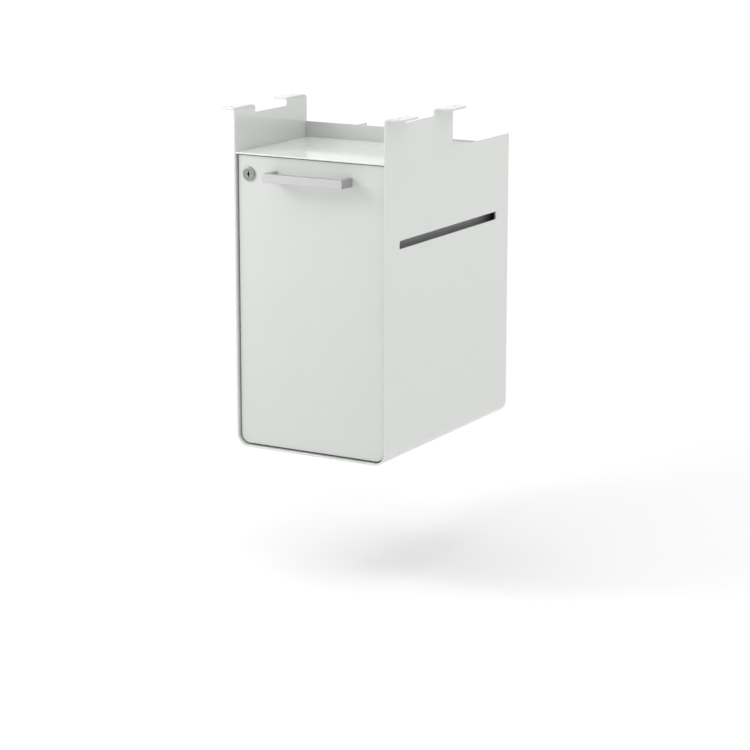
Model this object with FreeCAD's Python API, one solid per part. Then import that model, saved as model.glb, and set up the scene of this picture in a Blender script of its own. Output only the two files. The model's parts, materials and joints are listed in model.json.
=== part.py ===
import FreeCAD, Part
import math
import os

# Hanging under-desk cabinet with one deep pull-out drawer, in millimetres.
# Every sub-part is modelled from the shell's lower front edge: X to the right, Y towards the back,
# Z up, with X = 0 in the middle of the shell. The export moves it all, so that the origin is the
# centre of the four screw holes in the tabs' upper face, which lies against the desk.

# Shell
SHELL_WIDTH = 260.0
SHELL_DEPTH = 390.0
SHELL_SHEET = 3.0
SHELL_BEND = 20.0
BODY_HEIGHT = 450.0
TOTAL_HEIGHT = 515.0
TALL_DEPTH = 204.0
EDGE_ROUND = 0.8

# Tabs that screw to the desk, and the notch between the two tabs of one wall
TAB_REACH = 27.0
TAB_LENGTH = 57.0
TAB_CORNER = 12.0
TAB_BEND = 5.0
HOLE_RADIUS = 3.0
HOLE_REACH = 13.0
HOLE_INSET = 17.0
NOTCH_FLOOR = 503.5
NOTCH_CORNER = 3.0

# Long slot in each side wall
SLOT_FRONT = 42.0
SLOT_BACK = 349.0
SLOT_LOW = 320.0
SLOT_HIGH = 332.0
SLOT_CORNER = 2.0

# Tray on top, raised edge behind it, and the lower rear cover
PANEL_SHEET = 2.0
FIT_GAP = 0.1
CORNER_GAP = 0.6
TRAY_TOP = 450.0
TRAY_FLANGE_FRONT = 30.0
TRAY_FLANGE_DROP = 14.0
UPSTAND_FRONT = 201.0
UPSTAND_TOP = 474.0
REAR_COVER_TOP = 432.5
REAR_FLANGE_LOW = 416.0
BACK_PANEL_FLANGE = 15.0
BACK_PANEL_RISE = 2.0
PANEL_ROUND = 0.5
PANEL_INNER_BEND = 1.0
PANEL_OUTER_BEND = PANEL_SHEET + PANEL_INNER_BEND

# Drawer front: a folded pan closed by a liner
FRONT_GAP = 2.0
FRONT_RECESS = 5.0
FRONT_TOP = 446.2
FRONT_THICKNESS = 18.0
FRONT_SHEET = 1.5
FRONT_ROUND = 1.2
FRONT_TOP_CORNER = 2.0
LINER_SHEET = 1.2

# Drawer box
BOX_SHEET = 1.5
BOX_LOW = 14.0
BOX_HIGH = 388.0
BOX_BACK = 372.0
BOX_BOTTOM_FLANGE = 15.0
BOX_TOP_FLANGE = 9.0
BOX_INNER_BEND = 0.5
BOX_OUTER_BEND = BOX_SHEET + BOX_INNER_BEND
ANGLE_LEG = 18.0
ANGLE_LOW = 30.0
ANGLE_HIGH = 380.0

# Telescopic ball runners: one a side, 12.7 mm thick, on hat brackets welded inside the shell
BRACKET_DEPTH = 6.0
BRACKET_HEIGHT = 70.0
BRACKET_FOOT = 24.0
BRACKET_PLACES = (75.0, 330.0)
RUNNER_THICKNESS = 12.7
RUNNER_LENGTH = 350.0
RUNNER_FRONT = 25.0
RUNNER_HEIGHT_Z = 150.0
RUNNER_SHEET = 1.2
RUNNER_INNER_BEND = 0.6
RUNNER_STOP_GAP = 0.5
RUNNER_STOP_DEPTH = 10.0
RUNNER_STOP_HALF_HEIGHT = 14.0
MIDDLE_SHEET = 1.5
OUTER_RACE = 21.5
CABINET_TIP = 11.0
MIDDLE_WEB_LOW = 3.8
MIDDLE_WEB_HIGH = 5.0
MIDDLE_TIP = 11.6
DRAWER_TIP = 6.2
OUTER_BALL_RADIUS = 2.4
OUTER_BALL_DEPTH = 7.4
INNER_BALL_RADIUS = 2.0
INNER_BALL_DEPTH = 8.9
GROOVE_DEPTH_OUTER = 0.4
GROOVE_DEPTH_INNER = 0.3
BALL_PLAY = 0.05
CAGE_SHEET = 0.6
CAGE_LENGTH = 170.0
OUTER_CAGE_WEB = 2.9
OUTER_CAGE_TIP = 10.2
INNER_CAGE_WEB = 5.3
INNER_CAGE_TIP = 11.2
BALLS_PER_ROW = 6

# D-shaped handle
HANDLE_MIDDLE_X = 3.5
HANDLE_MIDDLE_Z = 419.0
HANDLE_SCREW_SPACING = 128.0
HANDLE_LEG = 8.0
HANDLE_BAR = 8.0
HANDLE_HEIGHT = 13.0
HANDLE_REACH = 30.0
HANDLE_INNER_ROUND = 8.0
HANDLE_OUTER_ROUND = 1.5
HANDLE_ROUND = 0.9
HANDLE_THREAD_DEPTH = 15.0
HANDLE_SCREW_GRIP = 12.0

# Cam lock
LOCK_X = -105.5
LOCK_Z = 418.5
LOCK_FACE_RADIUS = 10.4
LOCK_FACE_PROUD = 3.4
LOCK_FACE_ROUND = 1.4
BARREL_RADIUS = 9.5
PLUG_RADIUS = 7.5
PLUG_PLAY = 0.05
PLUG_SETBACK = 0.3
KEYWAY_HEIGHT = 9.5
KEYWAY_WIDTH = 2.2
KEYWAY_EYE_RADIUS = 2.3
KEYWAY_DEPTH = 14.0
NUT_ACROSS_FLATS = 24.0
NUT_THICKNESS = 4.0
NUT_CLEARANCE = 0.2
CAM_GAP = 1.2
CAM_REACH = 24.0
CAM_HALF_WIDTH = 7.0
CAM_SHEET = 2.5
CAM_CORNER = 3.0
CAM_THREAD_DEPTH = 9.0
CAM_SCREW_GRIP = 7.0
STRIKE_HALF_WIDTH = 15.0
STRIKE_LOW = 436.0
STRIKE_FOOT = 22.0
STRIKE_INNER_BEND = 0.5
STRIKE_GAP = 0.02

# Fasteners
SCREW_RADIUS = 2.0
SCREW_HOLE_RADIUS = 2.1
SCREW_HEAD_RADIUS = 4.0
HEAD_ACCESS_RADIUS = 5.0
FLAT_HEAD = 1.4
PAN_HEAD = 2.2
HEAD_ROUND_SHARE = 0.45
FRONT_SCREW_LENGTH = 8.0
FRONT_SCREW_INSET = 9.0
COVER_SCREW_LENGTH = 7.0
FRONT_SCREW_HEIGHTS = (70.0, 205.0, 340.0)
RIVET_PLACES = (60.0, 200.0, 340.0)
RIVET_TAIL_RADIUS = 3.2
RIVET_TAIL = 0.8
COVER_SCREW_PLACES = (-90.0, 0.0, 90.0)
BUFFER_PLACES = (-60.0, 60.0)
BUFFER_HEIGHT_Z = 340.0
BUFFER_RADIUS = 6.0
BUFFER_ROUND = 1.5
BUFFER_GAP = 0.5

# Allowances: how far a cut runs past the face it opens, how close two points count as one,
# and the angle from which an edge counts as sharp
OVERCUT = 1.0
TOUCH = 1e-6
ALMOST = 0.01
SHARP_ANGLE = 30.0

# Worked out from the dimensions above
HALF_WIDTH = SHELL_WIDTH / 2
INNER_HALF = HALF_WIDTH - SHELL_SHEET
FRONT_HALF = INNER_HALF - FRONT_GAP
FRONT_LOW = SHELL_SHEET + FRONT_GAP
FRONT_BACK = FRONT_RECESS + FRONT_THICKNESS
RUNNER_OUTER_X = INNER_HALF - BRACKET_DEPTH
BOX_HALF = RUNNER_OUTER_X - RUNNER_THICKNESS
TRAY_UNDERSIDE = TRAY_TOP - PANEL_SHEET
BACK_PANEL_FACE = SHELL_DEPTH - PANEL_SHEET
COVER_BACK = BACK_PANEL_FACE - FIT_GAP
OUTER_BALL_HEIGHT = OUTER_RACE + GROOVE_DEPTH_OUTER - OUTER_BALL_RADIUS - BALL_PLAY
MIDDLE_FACE = 2 * OUTER_BALL_HEIGHT - OUTER_RACE
MIDDLE_RACE = MIDDLE_FACE - MIDDLE_SHEET
INNER_BALL_HEIGHT = MIDDLE_RACE + GROOVE_DEPTH_INNER - INNER_BALL_RADIUS - BALL_PLAY
INNER_FACE = 2 * INNER_BALL_HEIGHT - MIDDLE_RACE
HOLE_MIDDLE_Y = TALL_DEPTH / 2
NUT_BACK = FRONT_BACK + NUT_THICKNESS
CAM_FRONT = NUT_BACK + CAM_GAP

X_AXIS = FreeCAD.Vector(1, 0, 0)
Y_AXIS = FreeCAD.Vector(0, 1, 0)
Z_AXIS = FreeCAD.Vector(0, 0, 1)


def block(x_low, x_high, y_low, y_high, z_low, z_high):
    """A plain box between two corners."""
    corner = FreeCAD.Vector(x_low, y_low, z_low)
    return Part.makeBox(x_high - x_low, y_high - y_low, z_high - z_low, corner)


def rod(x, y, z, radius, length, axis):
    """A round rod that starts at a point and runs along an axis."""
    return Part.makeCylinder(radius, length, FreeCAD.Vector(x, y, z), axis)


def rounded_wire(corners):
    """A closed wire through (point, radius) corners, each rounded by an arc of its radius."""
    edges = []
    starts = []
    ends = []
    for index, (point, radius) in enumerate(corners):
        back = (corners[index - 1][0] - point).normalize()
        ahead = (corners[(index + 1) % len(corners)][0] - point).normalize()
        if radius == 0:
            starts.append(point)
            ends.append(point)
            continue
        half_turn = back.getAngle(ahead) / 2
        reach = radius / math.tan(half_turn)
        start = point + back * reach
        end = point + ahead * reach
        bisector = (back + ahead).normalize()
        middle = point + bisector * (radius / math.sin(half_turn) - radius)
        edges.append(Part.Arc(start, middle, end).toShape())
        starts.append(start)
        ends.append(end)
    for index, end in enumerate(ends):
        start = starts[(index + 1) % len(starts)]
        if end.distanceToPoint(start) > TOUCH:
            edges.append(Part.LineSegment(end, start).toShape())
    return Part.Wire(Part.__sortEdges__(edges))


def prism(plane, corners, low, high):
    """Corners (first, second, radius) in the named plane, extruded from low to high."""
    place = {
        "XZ": lambda a, b: FreeCAD.Vector(a, low, b),
        "YZ": lambda a, b: FreeCAD.Vector(low, a, b),
        "XY": lambda a, b: FreeCAD.Vector(a, b, low),
    }[plane]
    along = {"XZ": Y_AXIS, "YZ": X_AXIS, "XY": Z_AXIS}[plane]
    wire = rounded_wire([(place(a, b), radius) for a, b, radius in corners])
    return Part.Face(wire).extrude(along * (high - low))


def mirrored(shape):
    """The left-hand copy of a right-hand piece."""
    return shape.mirror(FreeCAD.Vector(0, 0, 0), X_AXIS)


def sharp_edges(shape, test):
    """Edges between two faces that meet at a clear angle and whose middle passes the test."""
    found = []
    for edge in shape.Edges:
        middle = edge.valueAt((edge.FirstParameter + edge.LastParameter) / 2)
        if not test(middle, edge):
            continue
        normals = []
        for face in shape.ancestorsOfType(edge, Part.Face):
            u, v = face.Surface.parameter(middle)
            normals.append(face.normalAt(u, v))
        if len(normals) == 2 and math.degrees(normals[0].getAngle(normals[1])) > SHARP_ANGLE:
            found.append(edge)
    return found


def soften(shape, radius, test):
    """Rounds the sharp edges that pass the test."""
    return shape.makeFillet(radius, sharp_edges(shape, test))


def outer_shell():
    """One folded sheet: bottom, both walls, four tabs turned outwards, notches and long slots."""
    inner_bend = SHELL_BEND - SHELL_SHEET
    tab_low = TOTAL_HEIGHT - SHELL_SHEET
    tab_edge = HALF_WIDTH + TAB_REACH
    under_tab = TAB_BEND - SHELL_SHEET
    tall_right = [
        (HALF_WIDTH, 0, SHELL_BEND),
        (HALF_WIDTH, tab_low, under_tab),
        (tab_edge, tab_low, 0),
        (tab_edge, TOTAL_HEIGHT, 0),
        (INNER_HALF, TOTAL_HEIGHT, TAB_BEND),
        (INNER_HALF, SHELL_SHEET, inner_bend),
    ]
    low_right = [
        (HALF_WIDTH, 0, SHELL_BEND),
        (HALF_WIDTH, BODY_HEIGHT, 0),
        (INNER_HALF, BODY_HEIGHT, 0),
        (INNER_HALF, SHELL_SHEET, inner_bend),
    ]
    tall = prism("XZ", with_left_half(tall_right), 0, TALL_DEPTH)
    low = prism("XZ", with_left_half(low_right), TALL_DEPTH, SHELL_DEPTH)
    shell = tall.fuse(low).removeSplitter()
    shell = shell.cut(notch_between_tabs())
    shell = shell.cut(side_slots())
    tab_corners = [e for e in shell.Edges if is_tab_corner(e, tab_edge)]
    shell = shell.makeFillet(TAB_CORNER, tab_corners)
    for x, y in tab_hole_places():
        shell = shell.cut(rod(x, y, tab_low - OVERCUT, HOLE_RADIUS, SHELL_SHEET + 2 * OVERCUT, Z_AXIS))
    return soften(shell, EDGE_ROUND, lambda middle, edge: is_shell_rim(middle))


def with_left_half(right_corners):
    """Completes an outline that is symmetric about X = 0 from its right-hand corners."""
    left_corners = [(-x, z, radius) for x, z, radius in reversed(right_corners)]
    return right_corners + left_corners


def is_tab_corner(edge, tab_edge):
    """True for a short upright edge at a tab's outer corner."""
    first, last = edge.Vertexes[0].Point, edge.Vertexes[-1].Point
    upright = abs(first.x - last.x) < TOUCH and abs(first.y - last.y) < TOUCH
    return upright and abs(abs(first.x) - tab_edge) < TOUCH


def is_shell_rim(middle):
    """True on the sheet's cut rims, apart from the screw holes."""
    for x, y in tab_hole_places():
        if math.hypot(middle.x - x, middle.y - y) < HOLE_RADIUS + OVERCUT:
            return False
    return True


def tab_hole_places():
    """Centres of the four screw holes."""
    x = HALF_WIDTH + HOLE_REACH
    return [(side * x, y) for side in (-1, 1) for y in (HOLE_INSET, TALL_DEPTH - HOLE_INSET)]


def notch_between_tabs():
    """The gap that parts the front tab from the rear tab on both walls."""
    corners = [
        (TAB_LENGTH, NOTCH_FLOOR, NOTCH_CORNER),
        (TALL_DEPTH - TAB_LENGTH, NOTCH_FLOOR, NOTCH_CORNER),
        (TALL_DEPTH - TAB_LENGTH, TOTAL_HEIGHT + OVERCUT, 0),
        (TAB_LENGTH, TOTAL_HEIGHT + OVERCUT, 0),
    ]
    reach = HALF_WIDTH + TAB_REACH + OVERCUT
    return prism("YZ", corners, -reach, reach)


def side_slots():
    """The long slot, cut through both walls."""
    corners = [
        (SLOT_FRONT, SLOT_LOW, SLOT_CORNER),
        (SLOT_BACK, SLOT_LOW, SLOT_CORNER),
        (SLOT_BACK, SLOT_HIGH, SLOT_CORNER),
        (SLOT_FRONT, SLOT_HIGH, SLOT_CORNER),
    ]
    return prism("YZ", corners, -HALF_WIDTH - OVERCUT, HALF_WIDTH + OVERCUT)


def top_tray():
    """The open shelf between the tall walls, with flanges turned down along both walls."""
    half = INNER_HALF - FIT_GAP
    flange_low = TRAY_UNDERSIDE - TRAY_FLANGE_DROP
    flange_outline = with_left_half([
        (half, flange_low, 0),
        (half, TRAY_TOP, PANEL_OUTER_BEND),
    ])
    hollow = block(-half + PANEL_SHEET, half - PANEL_SHEET, 0, SHELL_DEPTH,
                   flange_low - OVERCUT, TRAY_UNDERSIDE)
    folded = prism("XZ", flange_outline, TRAY_FLANGE_FRONT, UPSTAND_FRONT - FIT_GAP).cut(hollow)
    plate = block(-half, half, 0, TRAY_FLANGE_FRONT, TRAY_UNDERSIDE, TRAY_TOP)
    tray = folded.fuse(plate).removeSplitter()
    return soften(tray, PANEL_ROUND, lambda middle, edge: middle.y < TOUCH)


def rear_cover():
    """The raised edge behind the tray and the lower cover behind it, folded from one sheet."""
    front, back = UPSTAND_FRONT, COVER_BACK
    low, top = REAR_COVER_TOP - PANEL_SHEET, REAR_COVER_TOP
    corners = [
        (front, UPSTAND_TOP, 0),
        (front + PANEL_SHEET, UPSTAND_TOP, 0),
        (front + PANEL_SHEET, top, PANEL_INNER_BEND),
        (back, top, PANEL_OUTER_BEND),
        (back, REAR_FLANGE_LOW, 0),
        (back - PANEL_SHEET, REAR_FLANGE_LOW, 0),
        (back - PANEL_SHEET, low, PANEL_INNER_BEND),
        (front, low, PANEL_OUTER_BEND),
    ]
    half = INNER_HALF - FIT_GAP
    cover = prism("YZ", corners, -half, half)
    for x in COVER_SCREW_PLACES:
        cover = cover.cut(cover_screw_hole(x))
    return soften(cover, PANEL_ROUND, lambda middle, edge: middle.z > UPSTAND_TOP - TOUCH)


def cover_screw_height():
    """Middle height of the rear cover's turned-down flange."""
    return (REAR_FLANGE_LOW + REAR_COVER_TOP - PANEL_SHEET) / 2


def cover_screw_hole(x):
    """A round cut through the rear cover's flange and the back panel."""
    start = COVER_BACK - PANEL_SHEET - OVERCUT
    length = SHELL_DEPTH + OVERCUT - start
    return rod(x, start, cover_screw_height(), SCREW_HOLE_RADIUS, length, Y_AXIS)


def back_panel():
    """The panel that closes the back, its sides and foot turned forwards inside the shell."""
    half = INNER_HALF - FIT_GAP
    low, high = SHELL_SHEET + FIT_GAP, REAR_COVER_TOP + BACK_PANEL_RISE
    corner = SHELL_BEND - SHELL_SHEET
    inner = half - PANEL_SHEET
    front = BACK_PANEL_FACE - BACK_PANEL_FLANGE
    rim_high = REAR_FLANGE_LOW - CORNER_GAP
    outside = [(half, low, corner), (half, rim_high, 0)]
    inside = [(inner, low + PANEL_SHEET, corner - PANEL_SHEET), (inner, high, 0)]
    rim = prism("XZ", with_left_half(outside), front, BACK_PANEL_FACE)
    rim = rim.cut(prism("XZ", with_left_half(inside), front - OVERCUT,
                        BACK_PANEL_FACE + OVERCUT))
    plate = [(half, low, corner), (half, high, PANEL_INNER_BEND)]
    panel = prism("XZ", with_left_half(plate), BACK_PANEL_FACE, SHELL_DEPTH)
    panel = panel.fuse(rim).removeSplitter()
    for x in COVER_SCREW_PLACES:
        panel = panel.cut(cover_screw_hole(x))
    return soften(panel, PANEL_ROUND, lambda middle, edge: middle.z > high - TOUCH)


def screw(x, y, z, axis, shank, head):
    """A screw whose head sits on a face at the given point, with its shank along the axis."""
    foot = FreeCAD.Vector(x, y, z) - axis * head
    cap = Part.makeCylinder(SCREW_HEAD_RADIUS, head, foot, axis)
    rim = [e for e in cap.Edges if e.Curve.TypeId == "Part::GeomCircle"
           and (e.CenterOfMass - foot).Length < TOUCH]
    cap = cap.makeFillet(head * HEAD_ROUND_SHARE, rim)
    return cap.fuse(rod(x, y, z, SCREW_RADIUS, shank, axis)).removeSplitter()


def cover_screws():
    """Three screws that hold the rear cover's flange to the back panel."""
    z = cover_screw_height()
    return [screw(x, SHELL_DEPTH, z, -Y_AXIS, COVER_SCREW_LENGTH, PAN_HEAD)
            for x in COVER_SCREW_PLACES]


def closing_buffers():
    """Two rubber buffers on the back panel that the drawer's back closes against."""
    length = BACK_PANEL_FACE - BOX_BACK - BUFFER_GAP
    buffers = []
    for x in BUFFER_PLACES:
        buffer = rod(x, BACK_PANEL_FACE, BUFFER_HEIGHT_Z, BUFFER_RADIUS, length, -Y_AXIS)
        nose_y = BACK_PANEL_FACE - length
        nose = [e for e in buffer.Edges if abs(e.CenterOfMass.y - nose_y) < TOUCH]
        buffers.append(buffer.makeFillet(BUFFER_ROUND, nose))
    return buffers


def lock_strike():
    """The angle under the tray that the lock's cam swings up behind."""
    front, back = NUT_BACK - PANEL_SHEET, NUT_BACK - PANEL_SHEET + STRIKE_FOOT
    top = TRAY_UNDERSIDE - STRIKE_GAP
    corners = [
        (front, STRIKE_LOW, 0),
        (front + PANEL_SHEET, STRIKE_LOW, 0),
        (front + PANEL_SHEET, top - PANEL_SHEET, STRIKE_INNER_BEND),
        (back, top - PANEL_SHEET, 0),
        (back, top, 0),
        (front, top, PANEL_SHEET + STRIKE_INNER_BEND),
    ]
    return prism("YZ", corners, LOCK_X - STRIKE_HALF_WIDTH, LOCK_X + STRIKE_HALF_WIDTH)


def runner_bracket(y):
    """A hat-section bracket, welded to the right wall, that carries the cabinet member."""
    wall, face = INNER_HALF, RUNNER_OUTER_X
    foot, sheet = BRACKET_FOOT, BOX_SHEET
    crown = foot / 2
    half_outline = [
        (face, crown, sheet),
        (wall - sheet, crown, 0),
        (wall - sheet, foot, 0),
        (wall, foot, 0),
        (wall, crown - sheet, 0),
        (face + sheet, crown - sheet, 0),
    ]
    other_half = [(x, -along, radius) for x, along, radius in reversed(half_outline)]
    corners = [(x, y + along, radius) for x, along, radius in half_outline + other_half]
    low = RUNNER_HEIGHT_Z - BRACKET_HEIGHT / 2
    bracket = prism("XY", corners, low, low + BRACKET_HEIGHT)
    hole = rod(face - OVERCUT, y, RUNNER_HEIGHT_Z, SCREW_HOLE_RADIUS, sheet + 2 * OVERCUT,
               X_AXIS)
    return bracket.cut(hole)


def channel(web_low, web_high, tip, face, sheet, front, length):
    """A runner member on the right: a web with two flanges. Depths count from the cabinet side."""
    upward = 1 if tip > web_low else -1
    back = web_low if upward > 0 else web_high
    inner_web = web_high if upward > 0 else web_low
    bend = sheet + RUNNER_INNER_BEND
    half = [
        (back, face, bend),
        (tip, face, 0),
        (tip, face - sheet, 0),
        (inner_web, face - sheet, RUNNER_INNER_BEND),
    ]
    other_half = [(depth, -height, radius) for depth, height, radius in reversed(half)]
    corners = [
        (RUNNER_OUTER_X - depth, RUNNER_HEIGHT_Z + height, radius)
        for depth, height, radius in half + other_half
    ]
    return prism("XZ", corners, front, front + length)


def grooved(member, depth, height, radius, front, length):
    """Cuts the upper and lower ball groove along a runner member."""
    for side in (-1, 1):
        x = RUNNER_OUTER_X - depth
        z = RUNNER_HEIGHT_Z + side * height
        member = member.cut(rod(x, front - OVERCUT, z, radius + BALL_PLAY,
                                length + 2 * OVERCUT, Y_AXIS))
    return member


def cabinet_runner():
    """The fixed member, screwed to the brackets, with a stop turned in at its rear end."""
    length = RUNNER_LENGTH + RUNNER_STOP_GAP + RUNNER_SHEET
    member = channel(0, RUNNER_SHEET, CABINET_TIP, OUTER_RACE + RUNNER_SHEET, RUNNER_SHEET,
                     RUNNER_FRONT, length)
    member = grooved(member, OUTER_BALL_DEPTH, OUTER_BALL_HEIGHT, OUTER_BALL_RADIUS,
                     RUNNER_FRONT, length)
    stop_front = RUNNER_FRONT + RUNNER_LENGTH + RUNNER_STOP_GAP
    stop = block(RUNNER_OUTER_X - RUNNER_STOP_DEPTH, RUNNER_OUTER_X - RUNNER_SHEET,
                 stop_front, stop_front + RUNNER_SHEET,
                 RUNNER_HEIGHT_Z - RUNNER_STOP_HALF_HEIGHT,
                 RUNNER_HEIGHT_Z + RUNNER_STOP_HALF_HEIGHT)
    member = member.fuse(stop).removeSplitter()
    for y in BRACKET_PLACES:
        start = RUNNER_OUTER_X - RUNNER_SHEET - OVERCUT
        member = member.cut(rod(start, y, RUNNER_HEIGHT_Z, SCREW_HOLE_RADIUS,
                                RUNNER_SHEET + 2 * OVERCUT, X_AXIS))
    return member


def middle_runner():
    """The middle member, which travels half as far as the drawer."""
    member = channel(MIDDLE_WEB_LOW, MIDDLE_WEB_HIGH, MIDDLE_TIP, MIDDLE_FACE, MIDDLE_SHEET,
                     RUNNER_FRONT, RUNNER_LENGTH)
    member = grooved(member, OUTER_BALL_DEPTH, OUTER_BALL_HEIGHT, OUTER_BALL_RADIUS,
                     RUNNER_FRONT, RUNNER_LENGTH)
    return grooved(member, INNER_BALL_DEPTH, INNER_BALL_HEIGHT, INNER_BALL_RADIUS,
                   RUNNER_FRONT, RUNNER_LENGTH)


def drawer_runner():
    """The member riveted to the drawer's side."""
    member = channel(RUNNER_THICKNESS - RUNNER_SHEET, RUNNER_THICKNESS, DRAWER_TIP,
                     INNER_FACE, RUNNER_SHEET, RUNNER_FRONT, RUNNER_LENGTH)
    member = grooved(member, INNER_BALL_DEPTH, INNER_BALL_HEIGHT, INNER_BALL_RADIUS,
                     RUNNER_FRONT, RUNNER_LENGTH)
    for y in RIVET_PLACES:
        start = RUNNER_OUTER_X - RUNNER_THICKNESS - OVERCUT
        member = member.cut(rod(start, y, RUNNER_HEIGHT_Z, SCREW_HOLE_RADIUS,
                                RUNNER_SHEET + 2 * OVERCUT, X_AXIS))
    return member


def ball_places(depth, height):
    """Centres of the balls in the upper and lower row of one cage."""
    front = RUNNER_FRONT + (RUNNER_LENGTH - CAGE_LENGTH) / 2
    pitch = CAGE_LENGTH / BALLS_PER_ROW
    return [
        FreeCAD.Vector(RUNNER_OUTER_X - depth, front + (index + 0.5) * pitch,
                       RUNNER_HEIGHT_Z + side * height)
        for side in (-1, 1)
        for index in range(BALLS_PER_ROW)
    ]


def ball_cage(web_low, tip, depth, height, radius):
    """A thin U-shaped strip with a pocket round each ball."""
    front = RUNNER_FRONT + (RUNNER_LENGTH - CAGE_LENGTH) / 2
    face = height + CAGE_SHEET / 2
    cage = channel(web_low, web_low + CAGE_SHEET, tip, face, CAGE_SHEET, front, CAGE_LENGTH)
    for centre in ball_places(depth, height):
        pocket = rod(centre.x, centre.y, centre.z - OVERCUT, radius + BALL_PLAY,
                     2 * OVERCUT, Z_AXIS)
        cage = cage.cut(pocket)
    return cage


def balls(depth, height, radius):
    """The loose balls of one cage."""
    return [Part.makeSphere(radius, centre) for centre in ball_places(depth, height)]


def runner_screws():
    """Flat-headed screws from the cabinet member into its brackets."""
    x = RUNNER_OUTER_X - RUNNER_SHEET
    shank = BRACKET_DEPTH - BOX_SHEET
    return [screw(x, y, RUNNER_HEIGHT_Z, X_AXIS, shank, FLAT_HEAD) for y in BRACKET_PLACES]


def runner_rivets():
    """Rivets from the drawer member through the drawer's side."""
    x = RUNNER_OUTER_X - RUNNER_THICKNESS + RUNNER_SHEET
    shank = RUNNER_SHEET + BOX_SHEET
    rivets = []
    for y in RIVET_PLACES:
        rivet = screw(x, y, RUNNER_HEIGHT_Z, -X_AXIS, shank, FLAT_HEAD)
        tail = rod(x - shank, y, RUNNER_HEIGHT_Z, RIVET_TAIL_RADIUS, RIVET_TAIL, -X_AXIS)
        rivets.append(rivet.fuse(tail).removeSplitter())
    return rivets


def drawer_front():
    """The visible folded pan, with its rim turned back and holes for handle and lock."""
    low, high = FRONT_LOW, FRONT_TOP
    corner = SHELL_BEND - SHELL_SHEET - FRONT_GAP
    sheet = FRONT_SHEET
    outside = [(FRONT_HALF, low, corner), (FRONT_HALF, high, FRONT_TOP_CORNER)]
    inside = [(FRONT_HALF - sheet, low + sheet, corner - sheet),
              (FRONT_HALF - sheet, high - sheet, FRONT_TOP_CORNER - sheet)]
    pan = prism("XZ", with_left_half(outside), FRONT_RECESS, FRONT_BACK)
    pan = soften(pan, FRONT_ROUND, lambda middle, edge: middle.y < FRONT_RECESS + TOUCH)
    pan = pan.cut(prism("XZ", with_left_half(inside), FRONT_RECESS + sheet,
                        FRONT_BACK + OVERCUT))
    pan = pan.cut(lock_hole())
    for x in handle_screw_places():
        pan = pan.cut(rod(x, FRONT_RECESS - OVERCUT, HANDLE_MIDDLE_Z, SCREW_HOLE_RADIUS,
                          sheet + 2 * OVERCUT, Y_AXIS))
    return pan


def drawer_front_liner():
    """The flat plate that closes the pan from behind."""
    inset = FRONT_SHEET + FIT_GAP
    corner = SHELL_BEND - SHELL_SHEET - FRONT_GAP - inset
    half = FRONT_HALF - inset
    top_corner = FRONT_TOP_CORNER - FRONT_SHEET
    outline = [(half, FRONT_LOW + inset, corner), (half, FRONT_TOP - inset, top_corner)]
    liner = prism("XZ", with_left_half(outline), FRONT_BACK - LINER_SHEET, FRONT_BACK)
    liner = liner.cut(lock_hole())
    for x in handle_screw_places():
        liner = liner.cut(rod(x, FRONT_RECESS, HANDLE_MIDDLE_Z, HEAD_ACCESS_RADIUS,
                              FRONT_THICKNESS + OVERCUT, Y_AXIS))
    for x, z in front_screw_places():
        liner = liner.cut(rod(x, FRONT_RECESS, z, SCREW_HOLE_RADIUS,
                              FRONT_THICKNESS + OVERCUT, Y_AXIS))
    return liner


def lock_hole():
    """The round cut for the lock's barrel through the pan and the liner."""
    return rod(LOCK_X, FRONT_RECESS - OVERCUT, LOCK_Z, BARREL_RADIUS + FIT_GAP,
               FRONT_THICKNESS + 2 * OVERCUT, Y_AXIS)


def handle_screw_places():
    """X of the handle's two screws."""
    half = HANDLE_SCREW_SPACING / 2
    return (HANDLE_MIDDLE_X - half, HANDLE_MIDDLE_X + half)


def front_screw_places():
    """Centres of the screws that join the liner to the drawer's brackets."""
    x = BOX_HALF - BOX_SHEET - FRONT_SCREW_INSET
    return [(side * x, z) for side in (-1, 1) for z in FRONT_SCREW_HEIGHTS]


def handle():
    """A solid D-shaped bar handle with its legs flush with its ends."""
    half = (HANDLE_SCREW_SPACING + HANDLE_LEG) / 2
    left, right = HANDLE_MIDDLE_X - half, HANDLE_MIDDLE_X + half
    front = FRONT_RECESS - HANDLE_REACH
    inner = front + HANDLE_BAR
    corners = [
        (left, FRONT_RECESS, 0),
        (left, front, HANDLE_OUTER_ROUND),
        (right, front, HANDLE_OUTER_ROUND),
        (right, FRONT_RECESS, 0),
        (right - HANDLE_LEG, FRONT_RECESS, 0),
        (right - HANDLE_LEG, inner, HANDLE_INNER_ROUND),
        (left + HANDLE_LEG, inner, HANDLE_INNER_ROUND),
        (left + HANDLE_LEG, FRONT_RECESS, 0),
    ]
    low = HANDLE_MIDDLE_Z - HANDLE_HEIGHT / 2
    bar = prism("XY", corners, low, low + HANDLE_HEIGHT)
    bar = soften(bar, HANDLE_ROUND, lambda middle, edge: middle.y < FRONT_RECESS - ALMOST)
    for x in handle_screw_places():
        bar = bar.cut(rod(x, FRONT_RECESS + OVERCUT, HANDLE_MIDDLE_Z,
                          SCREW_RADIUS + BALL_PLAY, HANDLE_THREAD_DEPTH, -Y_AXIS))
    return bar


def handle_screws():
    """Two screws from inside the drawer front into the handle's legs."""
    seat = FRONT_RECESS + FRONT_SHEET
    shank = FRONT_SHEET + HANDLE_SCREW_GRIP
    return [screw(x, seat, HANDLE_MIDDLE_Z, -Y_AXIS, shank, PAN_HEAD)
            for x in handle_screw_places()]


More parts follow.
